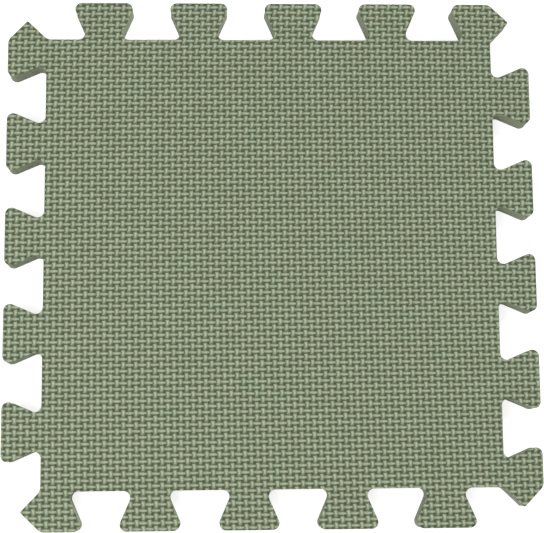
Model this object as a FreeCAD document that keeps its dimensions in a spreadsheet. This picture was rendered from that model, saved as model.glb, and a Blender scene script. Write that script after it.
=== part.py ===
import FreeCAD, Part
import math
import os
import Sketcher

# Interlocking foam floor tile, one die-cut piece. Lengths are in millimetres.
# The origin is at the middle of the underside and +Z is up. Seen from above, each side runs
# clockwise from one tip of the tile to the next and carries a row of dovetail tabs, and the
# last tab of each side makes the tile's corner. Turned by a quarter turn the tile is the same,
# and each side is the same when it is turned end for end, so any side locks into any other.

# Driving dimensions: alias, value, meaning
SIZES = [
    ("laid_size", "300", "tip to tip along a side, the pitch at which tiles are laid"),
    ("thickness", "15", "underside to the tops of the tread pattern"),
    ("tab_count", "5", "tabs on each side, with the one at the corner"),
    ("first_tab", "47", "tip to the middle of the side's first tab"),
    ("tab_depth", "23.6", "root line to head of a tab, half on each side of the laid size"),
    ("undercut", "10.3", "how much wider than half a pitch a tab's head is"),
    ("tip_run", "12.2", "tip to the end of the slanted cut beside it, along the side"),
    ("tab_radius", "4", "rounding at the heads and necks of the tabs"),
    ("bend_radius", "6", "rounding where the slanted cuts meet the straight edges"),
    ("tip_radius", "0.8", "rounding at the four tips"),
]

# What follows from the driving dimensions, as expressions that the features share.
# A side is the same end for end when its last slot mirrors its first tab, which sets the
# pitch, and a head fills a slot when a head and a neck add up to one pitch.
PITCH = "((Sizes.laid_size - 2 * Sizes.first_tab) / (Sizes.tab_count - 1.5))"
HALF_HEAD = f"({PITCH} / 4 + Sizes.undercut / 2)"
HALF_NECK = f"({PITCH} / 4 - Sizes.undercut / 2)"
TIP = "Sizes.laid_size / 2"
FIRST_TAB = f"(Sizes.first_tab - {TIP})"
CORNER_TAB = f"({TIP} - Sizes.first_tab + {PITCH} / 2)"
ROOT_LINE = f"({TIP} - Sizes.tab_depth / 2)"
HEAD_LINE = f"({TIP} + Sizes.tab_depth / 2)"
SLANT_END = f"({TIP} - Sizes.tip_run)"

SIDE_COUNT = 4
FULL_TURN = 360
BEND_TURN = 70  # degrees; the outline turns by less at a bend, and by more at a tab's corner
NEAR = 0.01  # how close to upright, or to a tip, an edge has to be to count as one
START, END = 1, 2  # a sketched edge's two ends
SKETCH_ORIGIN = (-1, 1)


def size_sheet(doc):
    sheet = doc.addObject("Spreadsheet::Sheet", "Sizes")
    for row, (alias, value, meaning) in enumerate(SIZES, start=1):
        sheet.set(f"A{row}", alias)
        sheet.set(f"B{row}", value)
        sheet.set(f"C{row}", meaning)
        sheet.setAlias(f"B{row}", alias)
    doc.recompute()
    return sheet


def origin_feature(body, role):
    return next(feature for feature in body.Origin.OriginFeatures if feature.Role == role)


def outline_sketch(body, name, corners):
    """A closed outline of straight edges on the ground plane.

    corners is a list of (name, x, y), where x and y are expressions of the size sheet,
    measured from the middle of the tile.
    """
    sketch = body.newObject("Sketcher::SketchObject", name)
    sketch.AttachmentSupport = [(origin_feature(body, "XY_Plane"), "")]
    sketch.MapMode = "FlatFace"
    points = [
        FreeCAD.Vector(sketch.evalExpression(x), sketch.evalExpression(y), 0)
        for _, x, y in corners
    ]
    for i, point in enumerate(points):
        sketch.addGeometry(Part.LineSegment(point, points[(i + 1) % len(points)]), False)
    for i in range(len(points)):
        joint = Sketcher.Constraint("Coincident", i, END, (i + 1) % len(points), START)
        sketch.addConstraint(joint)
    for i, (corner, x, y) in enumerate(corners):
        place(sketch, i, f"{corner}_x", "DistanceX", points[i].x, x)
        place(sketch, i, f"{corner}_y", "DistanceY", points[i].y, y)
    return sketch


def place(sketch, edge, name, kind, value, expression):
    """Ties the start of an edge to the sketch's origin, at a distance bound to the size sheet."""
    index = sketch.addConstraint(Sketcher.Constraint(kind, *SKETCH_ORIGIN, edge, START, value))
    sketch.renameConstraint(index, name)
    sketch.setExpression(f"Constraints.{name}", expression)


def pad(body, name, corners):
    """The outline through the corners, as thick as the tile."""
    sketch = outline_sketch(body, f"{name}Outline", corners)
    feature = body.newObject("PartDesign::Pad", name)
    feature.Profile = sketch
    feature.setExpression("Length", "Sizes.thickness")
    return feature


def core(body):
    """The square inside the root lines of the four sides."""
    low, high = f"-{ROOT_LINE}", ROOT_LINE
    corners = [
        ("front_left", low, low),
        ("front_right", high, low),
        ("back_right", high, high),
        ("back_left", low, high),
    ]
    return pad(body, "Core", corners)


def first_tab(body):
    """The first full dovetail of the back side, which stands on the core's root line."""
    corners = [
        ("neck_left", f"{FIRST_TAB} - {HALF_NECK}", ROOT_LINE),
        ("neck_right", f"{FIRST_TAB} + {HALF_NECK}", ROOT_LINE),
        ("head_right", f"{FIRST_TAB} + {HALF_HEAD}", HEAD_LINE),
        ("head_left", f"{FIRST_TAB} - {HALF_HEAD}", HEAD_LINE),
    ]
    return pad(body, "FirstTab", corners)


def corner_tab(body):
    """The last tab of the back side, cut off by the two slanted cuts that meet at the tip."""
    foot = f"({ROOT_LINE} - Sizes.tip_run)"
    neck = f"{CORNER_TAB} - {HALF_NECK}"
    corners = [
        ("foot_left", neck, foot),
        ("foot_right", ROOT_LINE, foot),
        ("slant_foot", ROOT_LINE, SLANT_END),
        ("tip", TIP, TIP),
        ("slant_head", SLANT_END, HEAD_LINE),
        ("head_left", f"{CORNER_TAB} - {HALF_HEAD}", HEAD_LINE),
        ("neck_left", neck, ROOT_LINE),
    ]
    return pad(body, "CornerTab", corners)


def around(body, name):
    """A pattern about the tile's middle, once for each side."""
    pattern = body.newObject("PartDesign::PolarPattern", name)
    pattern.Axis = (origin_feature(body, "Z_Axis"), [""])
    pattern.Angle = FULL_TURN
    pattern.Occurrences = SIDE_COUNT
    return pattern


def full_tabs(body, tab):
    """The first tab repeated along its side, and that row around the tile."""
    rows = body.newObject("PartDesign::MultiTransform", "TabRows")
    rows.Originals = [tab]
    row = body.newObject("PartDesign::LinearPattern", "TabRow")
    row.Direction = (origin_feature(body, "X_Axis"), [""])
    row.setExpression("Occurrences", "Sizes.tab_count - 1")
    row.setExpression("Length", f"(Sizes.tab_count - 2) * {PITCH}")
    rows.Transformations = [row, around(body, "Sides")]
    body.Tip = rows
    return rows


def corner_tabs(body, tab):
    corners = around(body, "Corners")
    corners.Originals = [tab]
    body.Tip = corners
    return corners


def turn_at(shape, edge):
    """How far the outline turns at an upright edge, in degrees."""
    first, second = (face.normalAt(0, 0) for face in shape.ancestorsOfType(edge, Part.Face))
    return math.degrees(first.getAngle(second))


def upright_edges(shape, tip):
    """The names of the upright edges, in three lists: tab corners, bends and tips."""
    kinds = {"tab": [], "bend": [], "tip": []}
    for number, edge in enumerate(shape.Edges, start=1):
        ends = [vertex.Point for vertex in edge.Vertexes]
        foot = ends[0]
        if (ends[1] - foot).cross(FreeCAD.Vector(0, 0, 1)).Length > NEAR:
            continue
        if abs(abs(foot.x) - tip) < NEAR and abs(abs(foot.y) - tip) < NEAR:
            kind = "tip"
        elif turn_at(shape, edge) < BEND_TURN:
            kind = "bend"
        else:
            kind = "tab"
        kinds[kind].append(f"Edge{number}")
    return kinds


def rounded(doc, body, base, kind, radius):
    """Rounds one kind of upright edge of the base feature with a radius of the size sheet."""
    fillet = body.newObject("PartDesign::Fillet", f"{kind.capitalize()}Rounding")
    tip = doc.Sizes.get("laid_size") / 2
    fillet.Base = (base, upright_edges(base.Shape, tip)[kind])
    fillet.setExpression("Radius", f"Sizes.{radius}")
    doc.recompute()
    return fillet


def foam_tile(doc):
    body = doc.addObject("PartDesign::Body", "FoamTile")
    body.Label = "foam_tile"
    core(body)
    full_tabs(body, first_tab(body))
    doc.recompute()
    feature = corner_tabs(body, corner_tab(body))
    doc.recompute()
    for kind in ("tab", "bend", "tip"):
        feature = rounded(doc, body, feature, kind, f"{kind}_radius")
    return body


def check(doc, bodies):
    """Stops before anything is written if a feature failed or a body isn't one sound solid."""
    for feature in doc.Objects:
        if {"Invalid", "Error"} & set(feature.State):
            raise RuntimeError(f"{feature.Name} failed: {feature.State}")
    for body in bodies:
        shape = body.Shape
        if shape.isNull() or not shape.isValid() or len(shape.Solids) != 1:
            raise RuntimeError(f"{body.Label} is not one valid solid")


def main():
    doc = FreeCAD.newDocument("FoamFloorTile")
    size_sheet(doc)
    bodies = [foam_tile(doc)]
    doc.recompute()
    check(doc, bodies)
    os.makedirs("parts", exist_ok=True)
    for body in bodies:
        body.Shape.exportStep(f"parts/{body.Label}.step")
        box = body.Shape.BoundBox
        print(f"{body.Label}: {box.XLength:.2f} x {box.YLength:.2f} x {box.ZLength:.2f} mm,",
              f"{body.Shape.Volume / 1000:.1f} cm3, {len(body.Shape.Faces)} faces")


main()
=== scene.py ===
import math

import bpy
import numpy as np
from mathutils import Matrix, Vector
from mathutils.geometry import delaunay_2d_cdt


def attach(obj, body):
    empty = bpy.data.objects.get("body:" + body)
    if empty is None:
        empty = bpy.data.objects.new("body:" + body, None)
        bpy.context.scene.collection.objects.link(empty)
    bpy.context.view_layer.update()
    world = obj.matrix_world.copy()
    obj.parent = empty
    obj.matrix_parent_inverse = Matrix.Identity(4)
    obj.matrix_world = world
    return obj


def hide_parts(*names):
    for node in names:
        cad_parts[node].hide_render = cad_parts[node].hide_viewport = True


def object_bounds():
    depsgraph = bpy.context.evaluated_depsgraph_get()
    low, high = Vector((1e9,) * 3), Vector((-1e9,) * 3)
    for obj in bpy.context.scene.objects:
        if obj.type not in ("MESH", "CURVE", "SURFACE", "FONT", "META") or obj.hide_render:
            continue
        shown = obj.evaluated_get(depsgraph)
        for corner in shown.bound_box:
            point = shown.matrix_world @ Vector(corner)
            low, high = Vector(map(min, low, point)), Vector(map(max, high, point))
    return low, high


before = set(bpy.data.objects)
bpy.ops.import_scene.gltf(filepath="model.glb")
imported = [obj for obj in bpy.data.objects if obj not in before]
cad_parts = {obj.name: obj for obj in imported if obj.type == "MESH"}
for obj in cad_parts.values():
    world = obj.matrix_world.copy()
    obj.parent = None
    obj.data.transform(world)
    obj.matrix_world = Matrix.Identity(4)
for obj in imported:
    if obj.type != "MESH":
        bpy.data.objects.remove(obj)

# The foam floor tile's looks: a tread embossed like a plain weave, which runs out to the
# die-cut edges, and plain cut foam on the walls and the underside. The mesh is built in
# millimetres, in the tile's own frame, and made in metres.
CAD_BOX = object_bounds()
NODE = "foam_tile"
MM = 0.001
TOP = CAD_BOX[1][2] / MM
TREAD, CUT = 0, 1  # the numbers of the tile's materials

# The weave: one cell holds one strand that comes up over the other. Upright strands (along Y)
# are up where the cell's column and row add up to an even number, lying ones elsewhere.
CELL_X = 3.783
CELL_Y = 3.591
RELIEF_DEPTH = 1.0

# One repeat of the weave is an upright cell, with its middle at the origin, and the lying cell to
# its right. Each point has x and y in mm, and its depth below the tread's tops as a share of the
# relief's depth, which is a little over 1 in the deepest pit. The points of a strand are measured
# from the middle of its cell.
UPRIGHT_POINTS = [
    (0.00, 1.00, 0.00),  # crest
    (0.08, -0.28, 0.00),
    (-0.50, 1.52, 0.18),  # shoulders, of which the ones at the back stand higher
    (0.50, 1.55, 0.16),
    (-0.60, -1.65, 0.34),
    (0.55, -1.65, 0.47),
    (-1.15, 0.75, 0.57),  # feet
    (1.18, 0.75, 0.48),
    (-1.15, -0.75, 0.62),
    (1.18, -0.75, 0.59),
]
LYING_POINTS = [
    (-1.10, 0.00, 0.11),  # crest
    (1.10, 0.00, 0.00),
    (-1.85, 0.00, 0.13),  # ends
    (1.64, 0.00, 0.04),
    (-1.15, 0.98, 0.44),  # feet
    (1.05, 0.94, 0.72),
    (-1.10, -0.96, 0.60),
    (1.05, -0.94, 0.76),
]
HOLLOW_POINTS = [
    (-0.60, 2.15, 0.75),  # past the upright strand's ends
    (0.40, 2.15, 0.75),
    (-0.80, -2.30, 0.69),
    (0.15, -2.30, 0.63),
    (1.68, 2.30, 1.06),  # the pits at the cells' corners, short grooves with a point at either end
    (2.19, 1.35, 0.87),
    (5.98, 2.25, 0.93),
    (5.38, 1.35, 0.96),
]
UPRIGHT, LYING, HOLLOW = 0, 1, 2
KIND_COUNT = 3

# The repeats whose points are meshed together, so that the one in their middle is whole, and how
# far that one's corner is set off, in repeats, so that no triangle's middle is on its border
MESHED_REPEATS = range(-2, 4)
START_UP = 0.0137
START_DOWN = 0.0274

# Upright strands lean to the right, by so much for each mm that they go up, and bend to the left
# away from their middle, by so much for each mm squared. Both are given for the middle of the
# tile, with what they gain or lose by its edges.
STRAND_LEAN = 0.03
LEAN_GAIN = 0.18  # towards the back edge
STRAND_BOW = 0.145
BOW_GAIN = 0.06  # towards the right edge
BOW_LOSS = 0.08  # towards the front and back edges
BEND_LIMIT = 0.45  # mm to either side

# How unevenly the strands came out of the press: spread of their place in mm and of their turn,
# and the most that one is sunk, as a share of the relief's depth
SEED = 7
UNEVEN_SHIFT = 0.05
UNEVEN_TURN = 0.03
UNEVEN_SINK = 0.07

# How the weave lies on the tile, in cells: the slope of its rows and columns, its place, and
# the slow drift of a sheet that was embossed before it was cut. x and y go from -1 to 1.
HALF_SIZE = 150.0
COLUMN_SLOPE = 0.397
ROW_SLOPE = -0.304
COLUMN_START = -0.12
ROW_START = -0.426
COLUMN_FAN = 0.217
COLUMN_BOW = -0.111
ROW_BOW = 0.083
ROW_FAN = 0.162
SOLVE_STEPS = 6
MARGIN_CELLS = 2  # cells that the sheet has past the tile on every side, before it is cut

# Cut edges, in mm
NEAR = 0.01
CLIP_MARGIN = 2.2  # triangles nearer than this to the outline are cut by it
WAIST_INSET = 0.15
FOOT_INSET = 0.35
FOOT_HEIGHT = 0.5

# What the triangulation fills, the hull of its points or only its faces, and how close two
# points are when they count as one
FILL_HULL, FILL_FACES = 0, 1
SAME_IN_REPEAT = 1e-6
SAME_IN_CUT = 1e-5

# Screen colours, 0 to 255. The tread's go by the height of the relief, with 0 at its depth and 1
# at its tops: painted shade, dark in the pits of foam that is one colour. Cut foam's go by a fine
# noise.
TREAD_COLOURS_AND_PIT_SHADE = [
    (0.00, (67, 77, 55)),
    (0.32, (93, 104, 78)),
    (0.71, (161, 171, 146)),
    (0.96, (191, 199, 175)),
]
CUT_COLOURS = [
    (0.35, (160, 168, 145)),
    (0.65, (173, 181, 158)),
]
# The mottling multiplies either by a tint between a warm one and a cool one.
MOTTLING = [
    (0.3, (1.0, 0.97, 0.925, 1)),
    (0.7, (0.945, 1.0, 0.965, 1)),
]
# The noises, with their scales in patches for each metre
PATCHES = {"Scale": 110.0, "Detail": 5.0, "Roughness": 0.7}
OPEN_CELLS = {"Scale": 900.0, "Detail": 2.0, "Roughness": 0.5}
GRAIN = {"Detail": 4.0, "Roughness": 0.65}
FOAM_SPECULAR = 0.3
# The numbers of a colour mix's sockets
MIX_SHARE, MIX_FIRST, MIX_SECOND, MIX_RESULT = 0, 6, 7, 2

# Stage
WHITE = (1, 1, 1, 1)
FLOOR_SIZE = 8.0
FLOOR_DROP = 0.0001  # the floor lies this far under the tile, so that the two don't flicker
FLOOR_COLOUR = (200, 200, 200)
FLOOR_LIFT = 0.78  # what the floor adds for the camera, so that it shows white
# The levels of the world and the lamps on a flat surface add up to 1, at which a colour renders
# as it is written.
WORLD_LEVEL = 0.35
LAMPS = [
    # name, bearing round from +X and height over the floor in degrees, distance, size, level
    ("front_light", 210, 60, 1.3, 0.6, 0.35),
    ("side_light", 27, 35, 5.0, 2.2, 0.30),
]

# The camera that took the photograph, fitted to the tile's outline there
CAMERA_PLACE = (-0.0353, -0.1226, 0.8346)
CAMERA_TURN = (8.21, -2.44, -0.19)  # degrees, about its own x, y and z in that order
LENS = 90.25
SENSOR = 36.0


def open_edge(faces):
    """The loop of edges that only one of the faces has, anticlockwise round them."""
    edges = {(a, b) for face in faces for a, b in zip(face, face[1:] + face[:1])}
    onward = {a: b for a, b in edges if (b, a) not in edges}
    loop = [min(onward)]
    while onward[loop[-1]] != loop[0]:
        loop.append(onward[loop[-1]])
    return loop


def outline_of(node):
    """The tile's outline from above, as an array of points in mm, anticlockwise."""
    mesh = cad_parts[node].data
    corners = [tuple(round(v / MM, 3) for v in vertex.co) for vertex in mesh.vertices]
    faces = [[corners[i] for i in face.vertices] for face in mesh.polygons]
    top_faces = [face for face in faces if min(corner[2] for corner in face) > TOP - NEAR]
    return np.array(open_edge(top_faces))[:, :2]


def repeat_points():
    """The points of one repeat, and for each what it is on: UPRIGHT, LYING or HOLLOW."""
    lying = [(CELL_X + x, y, depth) for x, y, depth in LYING_POINTS]
    sizes = [len(UPRIGHT_POINTS), len(lying), len(HOLLOW_POINTS)]
    points = np.array(UPRIGHT_POINTS + lying + HOLLOW_POINTS)
    return points, np.repeat([UPRIGHT, LYING, HOLLOW], sizes)


def repeat_triangles(points):
    """The triangles of one repeat, each corner as (steps up right, steps down right, point)."""
    spots, names = [], []
    for p in MESHED_REPEATS:
        for q in MESHED_REPEATS:
            for k, point in enumerate(points):
                spots.append((point[0] + (p + q) * CELL_X, point[1] + (p - q) * CELL_Y))
                names.append((p, q, k))
    flat = [Vector(spot) for spot in spots]
    faces, origin = delaunay_2d_cdt(flat, [], [], FILL_HULL, SAME_IN_REPEAT)[2:4]
    spots = np.array(spots)
    triangles = []
    for face in faces:
        face = [origin[i][0] for i in face]
        x, y = spots[face].mean(axis=0) / (CELL_X, CELL_Y)
        if 0 <= (x + y) / 2 - START_UP < 1 and 0 <= (x - y) / 2 - START_DOWN < 1:
            triangles.append([names[i] for i in face])
    return triangles


def on_tile(columns, rows):
    """Where the weave's columns and rows, counted in cells, lie on the tile, in mm."""
    per_x = HALF_SIZE / CELL_X
    per_y = HALF_SIZE / CELL_Y
    x = columns / per_x
    y = rows / per_y
    for _ in range(SOLVE_STEPS):
        column_drift = COLUMN_START + COLUMN_SLOPE * y + COLUMN_FAN * x * y + COLUMN_BOW * y * y
        row_drift = ROW_START + ROW_SLOPE * x + ROW_BOW * x * x + ROW_FAN * x * x * y
        x, y = (columns - column_drift) / per_x, (rows - row_drift) / per_y
    return x * HALF_SIZE, y * HALF_SIZE


def bending(unit, kinds, place):
    """How far each point of each repeat lies to the right by its strand's lean and bow, in mm."""
    across = place[:, :1] * CELL_X / HALF_SIZE
    back = place[:, 1:] * CELL_Y / HALF_SIZE
    y = unit[:, 1]
    lean = (STRAND_LEAN + LEAN_GAIN * back) * y
    bow = (STRAND_BOW + BOW_GAIN * across - BOW_LOSS * back * back) * (1 - y * y)
    return np.where(kinds == UPRIGHT, np.clip(lean + bow, -BEND_LIMIT, BEND_LIMIT), 0)


def unevenness(unit, kinds, count):
    """How far each point of each repeat lies from its even place, in mm, and how much deeper."""
    chance = np.random.default_rng(SEED)
    shift = chance.normal(0, UNEVEN_SHIFT, (KIND_COUNT, count, 2))
    turn = chance.normal(0, UNEVEN_TURN, (KIND_COUNT, count))
    sink = chance.uniform(0, UNEVEN_SINK, (KIND_COUNT, count))
    for part in (shift, turn, sink):
        part[HOLLOW] = 0
    x, y = unit[:, 0] - np.where(kinds == LYING, CELL_X, 0), unit[:, 1]
    aside = shift[kinds, :, 0].T - turn[kinds].T * y
    along = shift[kinds, :, 1].T + turn[kinds].T * x
    return aside, along, sink[kinds].T


def woven_sheet():
    """The embossed sheet before it is cut: its points, and triangles as rows of their numbers."""
    unit, kinds = repeat_points()
    half_width = max(abs(v) for v in CAD_BOX[0][:2]) / MM
    reach = math.ceil(half_width / min(CELL_X, CELL_Y)) + MARGIN_CELLS
    steps = [(p, q) for p in range(-reach, reach + 1) for q in range(-reach, reach + 1)
             if max(abs(p + q), abs(p - q)) <= reach]
    number = {step: i for i, step in enumerate(steps)}
    place = np.array([(p + q, p - q) for p, q in steps], float)
    aside, along, sunk = unevenness(unit, kinds, len(steps))
    aside += bending(unit, kinds, place)
    columns = place[:, :1] + (unit[:, 0] + aside) / CELL_X
    rows = place[:, 1:] + (unit[:, 1] + along) / CELL_Y
    x, y = on_tile(columns.ravel(), rows.ravel())
    z = TOP - RELIEF_DEPTH * (unit[:, 2] + sunk).ravel()
    triangles = []
    for corners in repeat_triangles(unit):
        for p, q in steps:
            ends = [(p + dp, q + dq) for dp, dq, _ in corners]
            if all(end in number for end in ends):
                triangles.append([number[end] * len(unit) + k
                                  for end, (_, _, k) in zip(ends, corners)])
    return np.stack([x, y, z], axis=1), np.array(triangles)


def beside_outline(points, loop):
    """For each point, whether it is inside the outline, and how far it is from it."""
    inside = np.zeros(len(points), bool)
    nearest = np.full(len(points), np.inf)
    for a, b in zip(loop, np.roll(loop, -1, axis=0)):
        along = b - a
        offset = points - a
        t = np.clip(offset @ along / (along @ along), 0, 1)
        nearest = np.minimum(nearest, np.hypot(*(offset - t[:, None] * along).T))
        if a[1] != b[1]:
            between = (points[:, 1] > min(a[1], b[1])) & (points[:, 1] <= max(a[1], b[1]))
            cross = a[0] + (points[:, 1] - a[1]) * along[0] / along[1]
            inside ^= between & (points[:, 0] < cross)
    return inside, nearest


def height_in(triangle, spot):
    """The height at a spot on the plane through a triangle's three points."""
    a, b, c = triangle
    u, v = np.linalg.solve(np.array([b[:2] - a[:2], c[:2] - a[:2]]).T, spot - a[:2])
    return a[2] + u * (b[2] - a[2]) + v * (c[2] - a[2])


def clipped(points, band, loop):
    """A band of triangles cut by the outline.

    Returns the points with the new ones at their end, what is left of the band as triangles, and
    which of the outline's points each point lies on, for those that lie on one.
    """
    used = np.unique(band)
    local = {number: i for i, number in enumerate(used)}
    flat = [Vector(points[i, :2]) for i in used] + [Vector(p) for p in loop]
    outline_face = list(range(len(used), len(flat)))
    faces = [[local[i] for i in triangle] for triangle in band] + [outline_face]
    spots, _, cut, from_points, _, from_faces = delaunay_2d_cdt(
        flat, [], faces, FILL_FACES, SAME_IN_CUT)
    points = list(points)
    number = {}
    outline_point = {}
    left = []
    for face, sources in zip(cut, from_faces):
        woven = [s for s in sources if s < len(band)]
        if len(band) not in sources or not woven:
            continue
        for i in face:
            if i in number:
                continue
            known = [k for k in from_points[i] if k < len(used)]
            if known:
                number[i] = int(used[known[0]])
            else:
                spot = np.array(spots[i])
                triangle = [points[k] for k in band[woven[0]]]
                number[i] = len(points)
                points.append(np.array([*spot, height_in(triangle, spot)]))
            for k in from_points[i]:
                if k >= len(used):
                    outline_point[number[i]] = k - len(used)
        left.append([number[i] for i in face])
    return points, left, outline_point


def cut_tread(loop):
    """The woven sheet cut to the outline: its points, its triangles, and the rim's point numbers.

    The rim runs anticlockwise, as pairs of a point number and the outline point there, or None.
    """
    points, triangles = woven_sheet()
    inside, nearest = beside_outline(points[:, :2], loop)
    whole = (inside & (nearest > CLIP_MARGIN))[triangles].all(axis=1)
    near = (inside | (nearest < CLIP_MARGIN))[triangles].any(axis=1) & ~whole
    points, edge_faces, outline_point = clipped(points, triangles[near], loop)
    faces = triangles[whole].tolist() + edge_faces
    rim = [(i, outline_point.get(i)) for i in open_edge(faces)]
    used = sorted({i for face in faces for i in face})
    new = {old: i for i, old in enumerate(used)}
    points = np.array([points[i] for i in used])
    return points, [[new[i] for i in face] for face in faces], [(new[i], k) for i, k in rim]


def outward(loop):
    """The outward direction at each point of an anticlockwise loop."""
    along = np.roll(loop, -1, axis=0) - loop
    along /= np.linalg.norm(along, axis=1)[:, None]
    mean = along + np.roll(along, 1, axis=0)
    mean /= np.linalg.norm(mean, axis=1)[:, None]
    return np.stack([mean[:, 1], -mean[:, 0]], axis=1)


def ring(loop, inset, height):
    flat = loop - inset * outward(loop)
    return np.column_stack([flat, np.full(len(loop), height)])


def cut_walls(rim, first_ring, ring_count, size):
    """The walls' faces: the rim down to the first ring, then ring to ring, then the underside."""
    start = next(i for i, (_, corner) in enumerate(rim) if corner == 0)
    rim = rim[start:] + rim[:start]
    faces = []
    below = 0
    for (a, _), (b, corner) in zip(rim, rim[1:] + rim[:1]):
        faces.append([a, first_ring + below, b])
        if corner is not None:
            faces.append([b, first_ring + below, first_ring + corner])
            below = corner
    for level in range(ring_count - 1):
        upper, lower = first_ring + level * size, first_ring + (level + 1) * size
        for i in range(size):
            j = (i + 1) % size
            faces.append([upper + i, lower + i, lower + j, upper + j])
    base = first_ring + (ring_count - 1) * size
    faces.append([base + i for i in reversed(range(size))])
    return faces


def tile_mesh():
    """The tile as one closed mesh: the tread, then the walls and the underside."""
    loop = outline_of(NODE)
    points, tread, rim = cut_tread(loop)
    rings = [
        ring(loop, WAIST_INSET, TOP / 2),
        ring(loop, 0, FOOT_HEIGHT),
        ring(loop, FOOT_INSET, 0),
    ]
    walls = cut_walls(rim, len(points), len(rings), len(loop))
    points = np.concatenate([points, *rings]) * MM
    mesh = bpy.data.meshes.new("foam_tile_surface")
    mesh.from_pydata(points.tolist(), [], tread + walls)
    material_numbers = [TREAD] * len(tread) + [CUT] * len(walls)
    mesh.polygons.foreach_set("material_index", material_numbers)
    mesh.polygons.foreach_set("use_smooth", [True] * len(material_numbers))
    sharpen_rim_and_base(mesh, {i for i, _ in rim}, len(points) - len(loop))
    mesh.validate()
    return mesh


def sharpen_rim_and_base(mesh, rim, base_start):
    ends = np.empty(len(mesh.edges) * 2, int)
    mesh.edges.foreach_get("vertices", ends)
    ends = ends.reshape(-1, 2)
    on_rim = np.isin(ends, list(rim)).all(axis=1)
    on_base = (ends >= base_start).all(axis=1)
    sharp = mesh.attributes.new("sharp_edge", "BOOLEAN", "EDGE")
    sharp.data.foreach_set("value", on_rim | on_base)


def linear(red, green, blue):
    """A screen colour, 0 to 255, as the linear colour that a shader takes."""
    shares = [value / 255 for value in (red, green, blue)]
    bright = [((v + 0.055) / 1.055) ** 2.4 if v > 0.04045 else v / 12.92 for v in shares]
    return (*bright, 1)


def node_adder(tree):
    """Empties a node tree, and gives a function that adds nodes to it.

    The function takes the node's settings, and its inputs by number in places or by name, with
    _ for a space. An input is a value or the socket that it is linked to.
    """
    tree.nodes.clear()

    def add(kind, settings=None, places=None, **names):
        node = tree.nodes.new(kind)
        for key, value in (settings or {}).items():
            setattr(node, key, value)
        inputs = {**(places or {}), **{name.replace("_", " "): names[name] for name in names}}
        for key, value in inputs.items():
            if isinstance(value, bpy.types.NodeSocket):
                tree.links.new(value, node.inputs[key])
            else:
                node.inputs[key].default_value = value
        return node

    return add


def material(name):
    """A new material, and the function that adds nodes to it."""
    made = bpy.data.materials.new(name)
    made.use_nodes = True
    return made, node_adder(made.node_tree)


def ramp(add, factor, stops):
    node = add("ShaderNodeValToRGB", Fac=factor)
    elements = node.color_ramp.elements
    while len(elements) < len(stops):
        elements.new(0.5)
    for element, (place, colour) in zip(elements, stops):
        element.position = place
        element.color = colour
    return node.outputs["Color"]


def colour_ramp(add, factor, colours):
    """A ramp through screen colours."""
    return ramp(add, factor, [(place, linear(*colour)) for place, colour in colours])


def mottled(add, spot, colour):
    patches = add("ShaderNodeTexNoise", Vector=spot, **PATCHES)
    tint = ramp(add, patches.outputs["Fac"], MOTTLING)
    mix = add("ShaderNodeMix", {"data_type": "RGBA", "blend_type": "MULTIPLY"},
              {MIX_SHARE: 1.0, MIX_FIRST: colour, MIX_SECOND: tint})
    return mix.outputs[MIX_RESULT]


def foam(name, base_colour, grain_scale, grain_depth, roughness):
    """Matte closed-cell foam. base_colour makes the colour before its mottling."""
    made, add = material(name)
    spot = add("ShaderNodeTexCoord").outputs["Object"]
    colour = mottled(add, spot, base_colour(add, spot))
    grain = add("ShaderNodeTexNoise", Vector=spot, Scale=grain_scale, **GRAIN)
    bump = add("ShaderNodeBump", Strength=1.0, Distance=grain_depth,
               Height=grain.outputs["Fac"])
    shader = add("ShaderNodeBsdfPrincipled", Base_Color=colour, Roughness=roughness,
                 Specular_IOR_Level=FOAM_SPECULAR, Normal=bump.outputs["Normal"])
    add("ShaderNodeOutputMaterial", Surface=shader.outputs["BSDF"])
    return made


def tread_colour_and_pit_shade(add, spot):
    """The foam's colour on the strands, with painted shade darker down into the pits, by the
    relief's height.
    """
    height = add("ShaderNodeSeparateXYZ", Vector=spot).outputs["Z"]
    share = add("ShaderNodeMapRange", Value=height, From_Min=(TOP - RELIEF_DEPTH) * MM,
                From_Max=TOP * MM).outputs["Result"]
    return colour_ramp(add, share, TREAD_COLOURS_AND_PIT_SHADE)


def cut_colour(add, spot):
    cells = add("ShaderNodeTexNoise", Vector=spot, **OPEN_CELLS)
    return colour_ramp(add, cells.outputs["Fac"], CUT_COLOURS)


def make_tile():
    tile = bpy.data.objects.new("foam_tile_surface", tile_mesh())
    bpy.context.scene.collection.objects.link(tile)
    # In the order of their numbers, TREAD and CUT
    # The tread's base colour paints shade into the pits of the relief.
    tile.data.materials.append(foam("tread_foam", tread_colour_and_pit_shade, grain_scale=2600.0,
                                    grain_depth=0.00004, roughness=0.62))
    tile.data.materials.append(foam("cut_foam", cut_colour, grain_scale=3200.0,
                                    grain_depth=0.00006, roughness=0.8))
    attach(tile, "root")
    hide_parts(NODE)


def for_camera(add, strength):
    """The strength where the camera looks, also by a reflection or through glass, else 0."""
    rays = add("ShaderNodeLightPath").outputs
    seen = rays["Is Camera Ray"]
    for ray in ("Is Glossy Ray", "Is Transmission Ray"):
        seen = add("ShaderNodeMath", {"operation": "MAXIMUM"}, {0: seen, 1: rays[ray]}).outputs[0]
    return add("ShaderNodeMath", {"operation": "MULTIPLY"}, {0: seen, 1: strength}).outputs[0]


def floor_material():
    made, add = material("floor_white")
    glow = add("ShaderNodeEmission", Color=WHITE, Strength=for_camera(add, FLOOR_LIFT))
    matte = add("ShaderNodeBsdfDiffuse", Color=linear(*FLOOR_COLOUR))
    both = add("ShaderNodeAddShader", places={0: matte.outputs[0], 1: glow.outputs[0]})
    add("ShaderNodeOutputMaterial", Surface=both.outputs[0])
    return made


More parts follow.
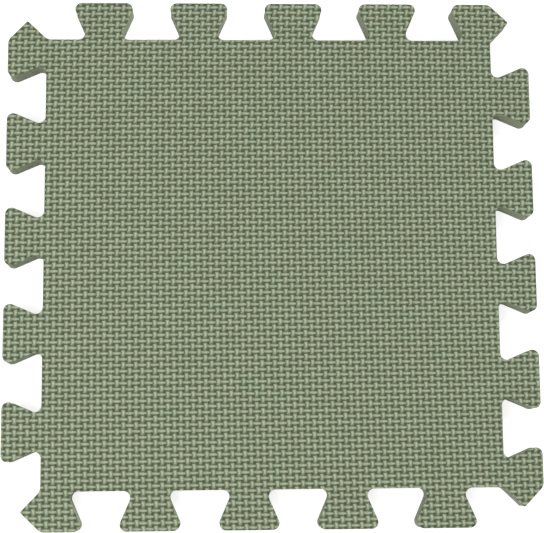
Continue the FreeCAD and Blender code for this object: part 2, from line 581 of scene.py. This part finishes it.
def make_floor():
    mesh = bpy.data.meshes.new("floor")
    half = FLOOR_SIZE / 2
    corners = [(-half, -half), (half, -half), (half, half), (-half, half)]
    mesh.from_pydata([(x, y, -FLOOR_DROP) for x, y in corners], [], [(0, 1, 2, 3)])
    mesh.materials.append(floor_material())
    floor = bpy.data.objects.new("floor", mesh)
    bpy.context.scene.collection.objects.link(floor)


def make_world():
    """An even white light, which the camera sees as plain white."""
    world = bpy.data.worlds.new("studio")
    bpy.context.scene.world = world
    world.use_nodes = True
    add = node_adder(world.node_tree)
    fill = add("ShaderNodeBackground", Color=WHITE, Strength=WORLD_LEVEL)
    white = add("ShaderNodeBackground", Color=WHITE, Strength=1.0)
    choice = add("ShaderNodeMixShader", places={
        0: add("ShaderNodeLightPath").outputs["Is Camera Ray"],
        1: fill.outputs[0],
        2: white.outputs[0],
    })
    add("ShaderNodeOutputWorld", Surface=choice.outputs[0])


def make_lamp(name, bearing, height, distance, size, level):
    """A square soft light that points at the tile."""
    bearing, height = math.radians(bearing), math.radians(height)
    light = bpy.data.lights.new(name, "AREA")
    light.size = size
    light.energy = level * (math.pi * distance) ** 2 / math.sin(height)
    lamp = bpy.data.objects.new(name, light)
    bpy.context.scene.collection.objects.link(lamp)
    away = Vector((
        math.cos(height) * math.cos(bearing),
        math.cos(height) * math.sin(bearing),
        math.sin(height),
    ))
    lamp.location = distance * away
    lamp.rotation_euler = away.to_track_quat("Z", "Y").to_euler()
    lamp.visible_camera = False


def make_camera():
    data = bpy.data.cameras.new("camera")
    data.lens = LENS
    data.sensor_width = SENSOR
    camera = bpy.data.objects.new("camera", data)
    bpy.context.scene.collection.objects.link(camera)
    turned = Matrix.Identity(3)
    for axis, angle in zip("XYZ", CAMERA_TURN):
        turned = turned @ Matrix.Rotation(math.radians(angle), 3, axis)
    camera.matrix_world = Matrix.Translation(CAMERA_PLACE) @ turned.to_4x4()
    bpy.context.scene.camera = camera


make_camera()
make_tile()
make_floor()
make_world()
for lamp in LAMPS:
    make_lamp(*lamp)
bpy.context.scene.view_settings.view_transform = "Standard"
